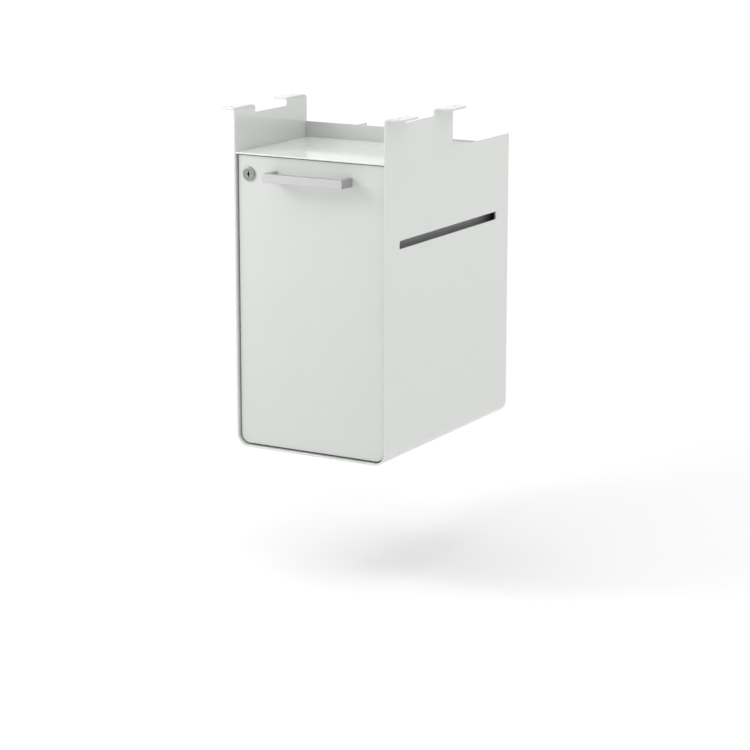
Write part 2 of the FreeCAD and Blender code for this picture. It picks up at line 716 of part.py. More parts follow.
def drawer_side():
    """The right side of the drawer box, with a foot and a top rim turned inwards."""
    outer, sheet = BOX_HALF, BOX_SHEET
    corners = [
        (outer, BOX_LOW, BOX_OUTER_BEND),
        (outer, BOX_HIGH, BOX_OUTER_BEND),
        (outer - BOX_TOP_FLANGE, BOX_HIGH, 0),
        (outer - BOX_TOP_FLANGE, BOX_HIGH - sheet, 0),
        (outer - sheet, BOX_HIGH - sheet, BOX_INNER_BEND),
        (outer - sheet, BOX_LOW + sheet, BOX_INNER_BEND),
        (outer - BOX_BOTTOM_FLANGE, BOX_LOW + sheet, 0),
        (outer - BOX_BOTTOM_FLANGE, BOX_LOW, 0),
    ]
    side = prism("XZ", corners, FRONT_BACK, BOX_BACK)
    for y in RIVET_PLACES:
        side = side.cut(rod(outer - sheet - OVERCUT, y, RUNNER_HEIGHT_Z, SCREW_HOLE_RADIUS,
                            sheet + 2 * OVERCUT, X_AXIS))
    return side


def drawer_bottom():
    """The bottom plate, which lies on the sides' feet."""
    half = BOX_HALF - BOX_SHEET - CORNER_GAP
    low = BOX_LOW + BOX_SHEET + FIT_GAP
    return block(-half, half, FRONT_BACK + FIT_GAP, BOX_BACK, low, low + BOX_SHEET)


def drawer_back():
    """The back plate, with its top rim turned forwards."""
    half = BOX_HALF - BOX_SHEET - CORNER_GAP
    low = BOX_LOW + 2 * BOX_SHEET + 2 * FIT_GAP
    high = BOX_HIGH - BOX_SHEET - FIT_GAP
    corners = [
        (BOX_BACK, low, 0),
        (BOX_BACK, high, BOX_OUTER_BEND),
        (BOX_BACK - BOX_TOP_FLANGE, high, 0),
        (BOX_BACK - BOX_TOP_FLANGE, high - BOX_SHEET, 0),
        (BOX_BACK - BOX_SHEET, high - BOX_SHEET, BOX_INNER_BEND),
        (BOX_BACK - BOX_SHEET, low, 0),
    ]
    return prism("YZ", corners, -half, half)


def front_bracket():
    """The angle that joins the drawer's right side to the liner."""
    outer = BOX_HALF - BOX_SHEET
    sheet = BOX_SHEET
    corners = [
        (outer, FRONT_BACK, BOX_OUTER_BEND),
        (outer - ANGLE_LEG, FRONT_BACK, 0),
        (outer - ANGLE_LEG, FRONT_BACK + sheet, 0),
        (outer - sheet, FRONT_BACK + sheet, BOX_INNER_BEND),
        (outer - sheet, FRONT_BACK + ANGLE_LEG, 0),
        (outer, FRONT_BACK + ANGLE_LEG, 0),
    ]
    bracket = prism("XY", corners, ANGLE_LOW, ANGLE_HIGH)
    for x, z in front_screw_places():
        bracket = bracket.cut(rod(x, FRONT_BACK - OVERCUT, z, SCREW_HOLE_RADIUS,
                                  sheet + 2 * OVERCUT, Y_AXIS))
    return bracket


def front_screws():
    """Screws from inside the drawer through the brackets into the liner."""
    seat = FRONT_BACK + BOX_SHEET
    return [screw(x, seat, z, -Y_AXIS, FRONT_SCREW_LENGTH, PAN_HEAD)
            for x, z in front_screw_places()]


def lock_housing():
    """The lock's face ring and barrel in one piece, bored for the plug."""
    face = FRONT_RECESS - LOCK_FACE_PROUD
    ring = rod(LOCK_X, face, LOCK_Z, LOCK_FACE_RADIUS, LOCK_FACE_PROUD, Y_AXIS)
    rim = [e for e in ring.Edges if e.CenterOfMass.y < face + TOUCH]
    ring = ring.makeFillet(LOCK_FACE_ROUND, rim)
    barrel = rod(LOCK_X, face, LOCK_Z, BARREL_RADIUS, NUT_BACK - face, Y_AXIS)
    bore = rod(LOCK_X, face - OVERCUT, LOCK_Z, PLUG_RADIUS + PLUG_PLAY,
               NUT_BACK - face + 2 * OVERCUT, Y_AXIS)
    return ring.fuse(barrel).removeSplitter().cut(bore)


def lock_plug():
    """The turning plug, with its keyway standing upright."""
    face = FRONT_RECESS - LOCK_FACE_PROUD + PLUG_SETBACK
    plug = rod(LOCK_X, face, LOCK_Z, PLUG_RADIUS, CAM_FRONT - face, Y_AXIS)
    half_height, half_width = KEYWAY_HEIGHT / 2, KEYWAY_WIDTH / 2
    keyway = block(LOCK_X - half_width, LOCK_X + half_width, face - OVERCUT,
                   face + KEYWAY_DEPTH, LOCK_Z - half_height, LOCK_Z + half_height)
    eye = rod(LOCK_X, face - OVERCUT, LOCK_Z, KEYWAY_EYE_RADIUS, KEYWAY_DEPTH / 2, Y_AXIS)
    thread = rod(LOCK_X, CAM_FRONT, LOCK_Z, SCREW_RADIUS + BALL_PLAY, CAM_THREAD_DEPTH,
                 -Y_AXIS)
    return plug.cut(keyway).cut(eye).cut(thread)


def lock_nut():
    """The hexagon nut that clamps the lock in the drawer front."""
    corner_radius = NUT_ACROSS_FLATS / math.sqrt(3)
    corners = []
    for index in range(6):
        angle = math.radians(60 * index)
        corners.append((LOCK_X + corner_radius * math.cos(angle),
                        LOCK_Z + corner_radius * math.sin(angle), 0))
    nut = prism("XZ", corners, FRONT_BACK, NUT_BACK - NUT_CLEARANCE)
    return nut.cut(rod(LOCK_X, FRONT_BACK - OVERCUT, LOCK_Z, BARREL_RADIUS + BALL_PLAY,
                       NUT_THICKNESS + 2 * OVERCUT, Y_AXIS))


def lock_cam():
    """The cam on the plug's rear end, hanging down while the drawer is unlocked."""
    tip = LOCK_Z - CAM_REACH
    corners = [
        (LOCK_X - CAM_HALF_WIDTH, LOCK_Z + CAM_HALF_WIDTH, CAM_HALF_WIDTH - ALMOST),
        (LOCK_X + CAM_HALF_WIDTH, LOCK_Z + CAM_HALF_WIDTH, CAM_HALF_WIDTH - ALMOST),
        (LOCK_X + CAM_HALF_WIDTH, tip, CAM_CORNER),
        (LOCK_X - CAM_HALF_WIDTH, tip, CAM_CORNER),
    ]
    cam = prism("XZ", corners, CAM_FRONT, CAM_FRONT + CAM_SHEET)
    return cam.cut(rod(LOCK_X, CAM_FRONT - OVERCUT, LOCK_Z, SCREW_HOLE_RADIUS,
                       CAM_SHEET + 2 * OVERCUT, Y_AXIS))


def lock_cam_screw():
    """The screw that holds the cam on the plug."""
    shank = CAM_SHEET + CAM_SCREW_GRIP
    return screw(LOCK_X, CAM_FRONT + CAM_SHEET, LOCK_Z, -Y_AXIS, shank, PAN_HEAD)


def outer_cage_parts():
    """Right-hand cage between the cabinet and middle members, and its balls."""
    cage = ball_cage(OUTER_CAGE_WEB, OUTER_CAGE_TIP, OUTER_BALL_DEPTH, OUTER_BALL_HEIGHT,
                     OUTER_BALL_RADIUS)
    return cage, balls(OUTER_BALL_DEPTH, OUTER_BALL_HEIGHT, OUTER_BALL_RADIUS)


def inner_cage_parts():
    """Right-hand cage between the middle and drawer members, and its balls."""
    cage = ball_cage(INNER_CAGE_WEB, INNER_CAGE_TIP, INNER_BALL_DEPTH, INNER_BALL_HEIGHT,
                     INNER_BALL_RADIUS)
    return cage, balls(INNER_BALL_DEPTH, INNER_BALL_HEIGHT, INNER_BALL_RADIUS)


def single_nodes():
    """Every sub-part that the object has once, by name."""
    return {
        "outer_shell": [outer_shell()],
        "top_tray": [top_tray()],
        "rear_cover": [rear_cover()],
        "back_panel": [back_panel()],
        "cover_screws": cover_screws(),
        "closing_buffers": closing_buffers(),
        "lock_strike": [lock_strike()],
        "drawer_front": [drawer_front()],
        "drawer_front_liner": [drawer_front_liner()],
        "drawer_bottom": [drawer_bottom()],
        "drawer_back": [drawer_back()],
        "front_screws": front_screws(),
        "handle": [handle()],
        "handle_screws": handle_screws(),
        "lock_housing": [lock_housing()],
        "lock_nut": [lock_nut()],
        "lock_plug": [lock_plug()],
        "lock_cam": [lock_cam()],
        "lock_cam_screw": [lock_cam_screw()],
    }


def paired_nodes():
    """Every right-hand sub-part that has a mirrored left-hand one, by name."""
    outer_cage, outer_balls = outer_cage_parts()
    inner_cage, inner_balls = inner_cage_parts()
    front_place, rear_place = BRACKET_PLACES
    return {
        "runner_bracket_front": [runner_bracket(front_place)],
        "runner_bracket_rear": [runner_bracket(rear_place)],
        "cabinet_runner": [cabinet_runner()],
        "middle_runner": [middle_runner()],
        "drawer_runner": [drawer_runner()],
        "outer_ball_cage": [outer_cage],
        "outer_balls": outer_balls,
        "inner_ball_cage": [inner_cage],
        "inner_balls": inner_balls,
        "runner_screws": runner_screws(),
        "runner_rivets": runner_rivets(),
        "drawer_side": [drawer_side()],
        "front_bracket": [front_bracket()],
    }


def export(name, solids):
    """Moves the solids into the row frame and writes them as one STEP file."""
    to_row_frame = FreeCAD.Vector(0, -HOLE_MIDDLE_Y, -TOTAL_HEIGHT)
    placed = [solid.translated(to_row_frame) for solid in solids]
    shape = placed[0] if len(placed) == 1 else Part.makeCompound(placed)
    shape.exportStep(os.path.join("parts", name + ".step"))


def main():
    os.makedirs("parts", exist_ok=True)
    for name, solids in single_nodes().items():
        export(name, solids)
    for name, solids in paired_nodes().items():
        export(name + "_right", solids)
        export(name + "_left", [mirrored(solid) for solid in solids])


main()
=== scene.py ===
import json
import math

import bmesh
import bpy
from mathutils import Euler, Matrix, Vector


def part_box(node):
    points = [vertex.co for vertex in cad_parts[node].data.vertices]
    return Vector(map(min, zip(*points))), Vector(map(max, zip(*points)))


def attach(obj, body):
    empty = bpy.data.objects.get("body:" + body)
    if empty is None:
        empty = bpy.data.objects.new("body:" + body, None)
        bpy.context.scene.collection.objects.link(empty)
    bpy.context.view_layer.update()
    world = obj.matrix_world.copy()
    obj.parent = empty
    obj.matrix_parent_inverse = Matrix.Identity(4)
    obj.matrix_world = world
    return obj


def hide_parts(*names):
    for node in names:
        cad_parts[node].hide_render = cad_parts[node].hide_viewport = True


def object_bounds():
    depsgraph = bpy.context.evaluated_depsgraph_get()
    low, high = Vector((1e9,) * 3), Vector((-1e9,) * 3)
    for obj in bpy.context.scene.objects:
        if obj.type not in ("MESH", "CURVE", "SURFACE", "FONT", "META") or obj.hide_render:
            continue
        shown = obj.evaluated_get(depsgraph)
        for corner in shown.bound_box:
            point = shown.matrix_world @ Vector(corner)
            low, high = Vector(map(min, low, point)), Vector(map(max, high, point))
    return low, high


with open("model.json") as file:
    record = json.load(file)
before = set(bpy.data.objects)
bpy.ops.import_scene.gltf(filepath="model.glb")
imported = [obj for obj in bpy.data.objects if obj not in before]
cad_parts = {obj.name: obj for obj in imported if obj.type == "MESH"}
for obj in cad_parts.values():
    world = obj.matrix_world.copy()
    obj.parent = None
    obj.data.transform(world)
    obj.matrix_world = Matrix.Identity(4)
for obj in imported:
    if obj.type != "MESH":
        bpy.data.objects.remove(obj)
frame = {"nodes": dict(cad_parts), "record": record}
cad_low, cad_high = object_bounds()

MM = 0.001

# Meshes
FINE = 96  # segments round a piece of the lock
COARSE = 40  # segments round a fastener or a buffer
SHARP_ANGLE = math.radians(32)
SAME_POINT = 0.001 * MM

# Screws. Their lengths and places come from the boxes of the CAD nodes they stand for.
PAN_HEAD = 2.2 * MM
FLAT_HEAD = 1.4 * MM
SCREW_SHANK = 2.0 * MM
SHANK_IN_HEAD = 0.3 * MM
THREAD_PITCH = 0.7 * MM
THREAD_DEPTH = 0.3 * MM
RINGS_PER_PITCH = 6
RECESS_REACH = 2.1 * MM
RECESS_HALF_WIDTH = 0.45 * MM

# A screw head's shape, in shares of its radius and its height
DOME_RINGS = 8
CROWN_RADIUS = 0.62
WALL_HEIGHT = 0.55
FOOT_HEIGHT = 0.12
FOOT_RADIUS = 0.97
RECESS_SHARE = 0.55
RECESS_FLOOR = 0.35
RECESS_CUT_TOP = 1.5

# A rivet's outline: shares of its radius, and millimetres down from its crown or up from its tail
RIVET_CROWN = ((0, 0.5), (0.22, 0.42), (0.34, 0), (0.62, 0.1), (0.88, 0.42))
RIVET_RIM = 0.35 * MM
RIVET_SEAT = 0.98
RIVET_TAIL = 0.8 * MM
RIVET_SPREAD = ((0.78, 0.8), (0.8, 0.4), (0.66, 0), (0.2, 0.1), (0, 0.1))

# A buffer's outline from its foot to its nose, in shares of its radius and its length
BUFFER_OUTLINE = (
    (0, 0), (1, 0), (1, 0.14), (0.86, 0.2), (0.86, 0.34), (0.94, 0.4), (0.94, 0.5),
    (0.84, 0.56), (0.82, 0.86), (0.7, 0.96), (0.5, 1), (0.3, 0.97), (0, 0.96),
)

# Lock housing. Depths are measured from the front of the CAD node's box.
PLUG_PLAY = 0.05 * MM
BORE_EDGE_DEPTH = 0.2 * MM
BORE_EDGE_WIDTH = 0.15 * MM
BORE_EDGE_START = 0.03 * MM
FACE_THICKNESS = 3.4 * MM
FACE_FLAT_INSET = 2.0 * MM
FACE_ROLL = 1.4 * MM
FACE_ROLL_START = 0.1 * MM
ROLL_RINGS = 6
BACK_EDGE_DEPTH = 0.35 * MM
BACK_EDGE_WIDTH = 0.25 * MM
BARREL_RADIUS = 9.5 * MM
BARREL_PITCH = 1.0 * MM
BARREL_GROOVE = 0.45 * MM
BARREL_END = 0.6 * MM

# Lock plug
PLUG_RADIUS = 7.5 * MM
PLUG_EDGE = 0.25 * MM
DISH_DEPTH = 0.12 * MM
DISH_EDGE_DEPTH = 0.1 * MM
DISH_EDGE = 0.62  # share of the plug's radius
DISH_RIM = 0.78  # share of the plug's radius
KEYWAY_HALF_HEIGHT = 4.7 * MM
KEYWAY_HALF_WIDTH = 0.825 * MM
KEYWAY_EYE = 2.2 * MM
KEYWAY_DEPTH = 14 * MM
KEYWAY_OVERCUT = 1 * MM
KEYWAY_STEPS = 8

# Wafers. They reach in from the keyway's two ends in turn.
WAFERS = 5
WAFER_REACHES = (2.0 * MM, 1.4 * MM)
WAFER_START = 5.0 * MM
WAFER_PITCH = 1.7 * MM
WAFER_THICKNESS = 0.9 * MM
WAFER_HALF_WIDTH = 1.6 * MM

# Lock nut. The chamfer's cone runs a little past the flats and the corners of the hexagon.
NUT_BORE_EDGE = 0.4 * MM
NUT_CONE_TOP = 0.98  # share of the half width across the flats
NUT_CONE_FOOT = 1.02  # share of the half width across the corners
NUT_CONE_DROP = 1.3 * math.tan(math.radians(30))  # share of the step from flat to corner

# Colours and finishes
NOISE_LOW = 0.3  # most of a noise lies between these two
NOISE_HIGH = 0.7
COAT = (0.67, 0.69, 0.667)
# The handle's face keeps its colour; its other surfaces take a darker colour as painted shade.
HANDLE_FACE_FULL = -0.95  # Y of the surface's direction where the face colour is full
HANDLE_FACE_END = -0.45  # and where it ends; past it the darker side colour, painted shade, is full

# Sky: the sine of the height above the horizon, and the brightness there
SKY = ((0.16, 1.15), (0.26, 0.5), (0.42, 0.38), (1.0, 1.5))
SKY_STRENGTH = 2.5

# Lights. Each one stands in its direction from the cabinet's middle and looks back at it.
KEY_DIRECTION = (-0.9, -0.9, 0.75)
KEY_DISTANCE = 1.1
KEY_SIZE = 0.4
KEY_POWER = 4.0
FILL_DIRECTION = (0.95, -0.35, 0.75)
FILL_DISTANCE = 3.0
FILL_SIZE = 1.2
FILL_POWER = 6.5

# Floor. Its glow grows from near to far between two distances from the origin.
FLOOR_Z = -0.72
FLOOR_HALF_SIZE = 30
FLOOR_CELLS = 8
GLOW_NEAR = 0.035
GLOW_FAR = 0.13
GLOW_START = 1.2
GLOW_END = 2.8

# Camera
CAMERA_PLACE = (1.8892, -3.1833, 0.4551)
CAMERA_DOWN = 13.1645  # degrees below the horizon
CAMERA_TURN = 29.969  # degrees from the cabinet's front towards its right side
CAMERA_LENS = 119.6  # millimetres
CAMERA_CLIP = 90


# ---------------------------------------------------------------- materials

class Finish:
    """A node material under construction, with short ways to drive its Principled shader."""

    def __init__(self, name):
        self.material = bpy.data.materials.new(name)
        self.material.use_nodes = True
        tree = self.material.node_tree
        self.nodes = tree.nodes
        self.links = tree.links
        self.shader = self.nodes["Principled BSDF"]
        self.place = self.nodes.new("ShaderNodeTexCoord").outputs["Object"]

    def set(self, **values):
        """Sets constant values on the shader's inputs."""
        for name, value in values.items():
            self.shader.inputs[name.replace("_", " ")].default_value = value

    def stretched(self, x, y, z):
        """Object coordinates, scaled by a different amount along each axis."""
        mapping = self.nodes.new("ShaderNodeMapping")
        mapping.inputs["Scale"].default_value = (x, y, z)
        self.links.new(self.place, mapping.inputs["Vector"])
        return mapping.outputs["Vector"]

    def noise(self, scale, detail, vector=None):
        """Smooth noise over the object's coordinates, or over another vector."""
        node = self.nodes.new("ShaderNodeTexNoise")
        node.inputs["Scale"].default_value = scale
        node.inputs["Detail"].default_value = detail
        self.links.new(vector or self.place, node.inputs["Vector"])
        return node.outputs["Fac"]

    def cells(self, scale):
        """A random colour for each cell of a Voronoi pattern."""
        node = self.nodes.new("ShaderNodeTexVoronoi")
        node.inputs["Scale"].default_value = scale
        self.links.new(self.place, node.inputs["Vector"])
        return node.outputs["Color"]

    def ramp(self, factor, low, high, start=NOISE_LOW, end=NOISE_HIGH):
        """A colour that runs from low to high as the factor goes from start to end."""
        node = self.nodes.new("ShaderNodeValToRGB")
        first, last = node.color_ramp.elements
        first.position, last.position = start, end
        first.color, last.color = (*low, 1), (*high, 1)
        self.links.new(factor, node.inputs["Fac"])
        return node.outputs["Color"]

    def colour(self, socket):
        """Takes the base colour from a socket."""
        self.links.new(socket, self.shader.inputs["Base Color"])

    def shades(self, factor, colour, dark, light, start=NOISE_LOW, end=NOISE_HIGH):
        """Colours the surface with shades of one colour, from dark to light with the factor."""
        self.colour(self.ramp(factor, scaled(colour, dark), scaled(colour, light), start, end))

    def roughness(self, factor, low, high):
        """Runs the roughness from low to high with the factor."""
        node = self.nodes.new("ShaderNodeMapRange")
        node.inputs["From Min"].default_value = NOISE_LOW
        node.inputs["From Max"].default_value = NOISE_HIGH
        node.inputs["To Min"].default_value = low
        node.inputs["To Max"].default_value = high
        self.links.new(factor, node.inputs["Value"])
        self.links.new(node.outputs["Result"], self.shader.inputs["Roughness"])

    def relief(self, height, depth):
        """Adds a bump of the given depth in metres on top of the bumps so far."""
        node = self.nodes.new("ShaderNodeBump")
        node.inputs["Strength"].default_value = 1.0
        node.inputs["Distance"].default_value = depth
        self.links.new(height, node.inputs["Height"])
        before = self.shader.inputs["Normal"].links
        if before:
            self.links.new(before[0].from_socket, node.inputs["Normal"])
        self.links.new(node.outputs["Normal"], self.shader.inputs["Normal"])


def scaled(colour, factor):
    """The same colour, lighter or darker."""
    return tuple(min(1.0, channel * factor) for channel in colour)


def powder_coat(name, colour, rough_low, rough_high, gloss=0.0, blur=0.06, peel=0.03 * MM):
    """Baked powder: faint mottling, orange peel about 2 mm across and a much finer grain."""
    finish = Finish(name)
    finish.shades(finish.noise(14, 3), colour, 0.994, 1.006)
    finish.roughness(finish.noise(60, 3), rough_low, rough_high)
    finish.relief(finish.noise(480, 1), peel)
    finish.relief(finish.noise(2600, 2), peel / 4)
    finish.set(Coat_Weight=gloss, Coat_Roughness=blur, Coat_IOR=1.75)
    return finish.material


def satin_handle_painted_shade(name, face_colour, side_painted_shade_colour):
    """A bar with a pale satin face; its top, bottom and ends are painted darker as shade, by the
    direction each surface faces.
    """
    finish = Finish(name)
    along = finish.noise(1, 3, finish.stretched(30, 900, 900))
    face = finish.ramp(along, scaled(face_colour, 0.985), scaled(face_colour, 1.015))
    # The side colour is painted shade for the top, bottom and ends, laid on by the direction each
    # surface faces.
    side = finish.ramp(along, scaled(side_painted_shade_colour, 0.96), scaled(side_painted_shade_colour, 1.04))
    normal = finish.nodes.new("ShaderNodeNewGeometry").outputs["Normal"]
    split = finish.nodes.new("ShaderNodeSeparateXYZ")
    finish.links.new(normal, split.inputs["Vector"])
    unshaded_face_share = finish.nodes.new("ShaderNodeMapRange")
    unshaded_face_share.inputs["From Min"].default_value = HANDLE_FACE_FULL
    unshaded_face_share.inputs["From Max"].default_value = HANDLE_FACE_END
    unshaded_face_share.inputs["To Min"].default_value = 1.0
    unshaded_face_share.inputs["To Max"].default_value = 0.0
    finish.links.new(split.outputs["Y"], unshaded_face_share.inputs["Value"])
    painted_shade_mix = finish.nodes.new("ShaderNodeMix")
    painted_shade_mix.data_type = "RGBA"
    finish.links.new(unshaded_face_share.outputs["Result"], painted_shade_mix.inputs["Factor"])
    finish.links.new(side, painted_shade_mix.inputs["A"])
    finish.links.new(face, painted_shade_mix.inputs["B"])
    finish.colour(painted_shade_mix.outputs["Result"])
    finish.roughness(along, 0.34, 0.44)
    finish.relief(along, 0.004 * MM)
    return finish.material


def galvanised(name, colour, rough_low=0.3, rough_high=0.45):
    """Bright zinc with small crystals of slightly different shade."""
    finish = Finish(name)
    finish.set(Metallic=1.0)
    finish.shades(finish.cells(380), colour, 0.93, 1.06, 0.0, 1.0)
    finish.roughness(finish.noise(220, 3), rough_low, rough_high)
    finish.relief(finish.noise(1800, 2), 0.006 * MM)
    return finish.material


def rolled_steel(name, colour):
    """Strip steel with fine rolling lines along Y and small stains."""
    finish = Finish(name)
    finish.set(Metallic=1.0)
    lines = finish.noise(1, 4, finish.stretched(2400, 14, 2400))
    finish.shades(finish.noise(45, 4), colour, 0.9, 1.05)
    finish.roughness(lines, 0.22, 0.38)
    finish.relief(lines, 0.006 * MM)
    return finish.material


def pressed_strip(name, colour):
    """Phosphated strip of the ball cages: matt, cloudy and a little warm."""
    finish = Finish(name)
    finish.set(Metallic=0.85)
    finish.shades(finish.noise(160, 5), colour, 0.8, 1.15)
    finish.roughness(finish.noise(500, 3), 0.42, 0.6)
    finish.relief(finish.noise(3000, 2), 0.004 * MM)
    return finish.material


def polished_ball(name, colour):
    """Ground and polished balls, with faint wear clouds."""
    finish = Finish(name)
    finish.set(Metallic=1.0)
    finish.shades(finish.noise(700, 4), colour, 0.95, 1.03)
    finish.roughness(finish.noise(1500, 3), 0.05, 0.12)
    return finish.material


def turned_plating(name, colour, centre):
    """Satin nickel with fine rings round the lock's axis."""
    finish = Finish(name)
    finish.set(Metallic=1.0)
    offset = finish.nodes.new("ShaderNodeVectorMath")
    offset.operation = "SUBTRACT"
    offset.inputs[1].default_value = centre
    finish.links.new(finish.place, offset.inputs[0])
    split = finish.nodes.new("ShaderNodeSeparateXYZ")
    finish.links.new(offset.outputs["Vector"], split.inputs["Vector"])
    flat = finish.nodes.new("ShaderNodeCombineXYZ")
    finish.links.new(split.outputs["X"], flat.inputs["X"])
    finish.links.new(split.outputs["Z"], flat.inputs["Z"])
    length = finish.nodes.new("ShaderNodeVectorMath")
    length.operation = "LENGTH"
    finish.links.new(flat.outputs["Vector"], length.inputs[0])
    rings = finish.nodes.new("ShaderNodeTexNoise")
    rings.noise_dimensions = "1D"
    rings.inputs["Scale"].default_value = 4200
    rings.inputs["Detail"].default_value = 2
    finish.links.new(length.outputs["Value"], rings.inputs["W"])
    ring = rings.outputs["Fac"]
    finish.shades(ring, colour, 0.93, 1.05)
    finish.roughness(ring, 0.3, 0.42)
    finish.relief(ring, 0.004 * MM)
    finish.relief(finish.noise(2500, 2), 0.003 * MM)
    return finish.material


def moulded_rubber(name, colour):
    """Soft black rubber with a dusty bloom."""
    finish = Finish(name)
    finish.shades(finish.noise(300, 5), colour, 0.7, 1.6)
    finish.roughness(finish.noise(900, 3), 0.6, 0.8)
    finish.relief(finish.noise(2200, 3), 0.02 * MM)
    return finish.material


def studio_floor(name):
    """White floor with a faint glow, which grows away from the cabinet to a white backdrop."""
    finish = Finish(name)
    away = finish.nodes.new("ShaderNodeVectorMath")
    away.operation = "LENGTH"
    finish.links.new(finish.place, away.inputs[0])
    glow = finish.nodes.new("ShaderNodeMapRange")
    glow.inputs["From Min"].default_value = GLOW_START
    glow.inputs["From Max"].default_value = GLOW_END
    glow.inputs["To Min"].default_value = GLOW_NEAR
    glow.inputs["To Max"].default_value = GLOW_FAR
    finish.links.new(away.outputs["Value"], glow.inputs["Value"])
    finish.links.new(glow.outputs["Result"], finish.shader.inputs["Emission Strength"])
    finish.colour(finish.ramp(finish.noise(3, 2), (0.94, 0.94, 0.94), (0.95, 0.95, 0.95)))
    finish.roughness(finish.noise(5, 2), 0.85, 0.95)
    finish.set(Emission_Color=(1, 1, 1, 1), Specular_IOR_Level=0.0)
    return finish.material


# ---------------------------------------------------------------- mesh helpers

def piece_from(name, mesh, body, slot, material, *nodes):
    """Turns a bmesh into a piece that stands for CAD nodes and moves with their body."""
    data = bpy.data.meshes.new(name)
    bmesh.ops.recalc_face_normals(mesh, faces=mesh.faces)
    mesh.to_mesh(data)
    mesh.free()
    data.shade_smooth()
    data.set_sharp_from_angle(angle=SHARP_ANGLE)
    data.materials.append(material)
    piece = bpy.data.objects.new(name, data)
    bpy.context.scene.collection.objects.link(piece)
    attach(piece, body)
    if nodes:
        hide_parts(*nodes)


def islands(node):
    """Boxes of the separate solids of a CAD node, in the order of their Y, Z and X."""
    mesh = bmesh.new()
    mesh.from_mesh(frame["nodes"][node].data)
    bmesh.ops.remove_doubles(mesh, verts=mesh.verts, dist=SAME_POINT)
    left = set(mesh.verts)
    boxes = []
    while left:
        front = [left.pop()]
        found = list(front)
        while front:
            for edge in front.pop().link_edges:
                for vert in edge.verts:
                    if vert in left:
                        left.remove(vert)
                        front.append(vert)
                        found.append(vert)
        low = Vector([min(v.co[i] for v in found) for i in range(3)])
        high = Vector([max(v.co[i] for v in found) for i in range(3)])
        boxes.append((low, high))
    mesh.free()
    return sorted(boxes, key=lambda box: (box[0].y, box[0].z, box[0].x))


def axis_matrix(point, axis):
    """Places local Z along the axis, starting at the point."""
    turn = Vector((0, 0, 1)).rotation_difference(Vector(axis)).to_matrix().to_4x4()
    return Matrix.Translation(point) @ turn


def turned(mesh, profile, place, segments, closed=False):
    """Spins (radius, along) points round local Z. A closed profile makes a ring with a bore."""
    rows = []
    for radius, along in profile:
        if radius == 0:
            rows.append([mesh.verts.new(place @ Vector((0, 0, along)))])
            continue
        row = []
        for index in range(segments):
            angle = 2 * math.pi * index / segments
            point = Vector((radius * math.cos(angle), radius * math.sin(angle), along))
            row.append(mesh.verts.new(place @ point))
        rows.append(row)
    pairs = list(zip(rows, rows[1:]))
    if closed:
        pairs.append((rows[-1], rows[0]))
    for low, high in pairs:
        for index in range(segments):
            after = (index + 1) % segments
            corners = [low[index % len(low)], low[after % len(low)],
                       high[after % len(high)], high[index % len(high)]]
            corners = list(dict.fromkeys(corners))
            if len(corners) > 2:
                mesh.faces.new(corners)


def thread(mesh, radius, depth, pitch, start, end, place, segments):
    """A closed shank with a helical thread from start to end along local Z."""
    rings = round((end - start) / pitch * RINGS_PER_PITCH)
    rows = []
    for step in range(rings + 1):
        along = start + (end - start) * step / rings
        fade = min(1.0, step / RINGS_PER_PITCH, (rings - step) / RINGS_PER_PITCH)
        row = []
        for index in range(segments):
            turn = index / segments
            phase = (along / pitch - turn) % 1.0
            crest = 1 - abs(2 * phase - 1)
            at = radius - depth * fade * (1 - crest)
            angle = 2 * math.pi * turn
            point = Vector((at * math.cos(angle), at * math.sin(angle), along))
            row.append(mesh.verts.new(place @ point))
        rows.append(row)
    for low, high in zip(rows, rows[1:]):
        for index in range(segments):
            after = (index + 1) % segments
            mesh.faces.new([low[index], low[after], high[after], high[index]])
    mesh.faces.new(rows[0])
    mesh.faces.new(rows[-1])


def extruded(mesh, outline, low, high, place):
    """A closed prism from an outline in local XY."""
    bottom = [mesh.verts.new(place @ Vector((x, y, low))) for x, y in outline]
    top = [mesh.verts.new(place @ Vector((x, y, high))) for x, y in outline]
    mesh.faces.new(bottom)
    mesh.faces.new(top)
    for index in range(len(outline)):
        after = (index + 1) % len(outline)
        mesh.faces.new([bottom[index], bottom[after], top[after], top[index]])


def carved(solid, cutter, operation="DIFFERENCE"):
    """Applies one boolean and returns the result as a new bmesh."""
    objects = []
    for mesh in (solid, cutter):
        data = bpy.data.meshes.new("carving")
        bmesh.ops.recalc_face_normals(mesh, faces=mesh.faces)
        mesh.to_mesh(data)
        mesh.free()
        carving = bpy.data.objects.new("carving", data)
        bpy.context.scene.collection.objects.link(carving)
        objects.append(carving)
    body, tool = objects
    modifier = body.modifiers.new("cut", "BOOLEAN")
    modifier.operation = operation
    modifier.solver = "EXACT"
    modifier.object = tool
    bpy.context.view_layer.update()
    result = bmesh.new()
    result.from_object(body, bpy.context.evaluated_depsgraph_get())
    for carving in objects:
        bpy.data.objects.remove(carving)
    return result


def cross_outline(reach, half):
    """A plus sign in local XY."""
    quarter = [(reach, -half), (reach, half), (half, half)]
    outline = []
    for turn in range(4):
        cosine, sine = round(math.cos(turn * math.pi / 2)), round(math.sin(turn * math.pi / 2))
        outline += [(x * cosine - y * sine, x * sine + y * cosine) for x, y in quarter]
    return outline


# ---------------------------------------------------------------- fasteners

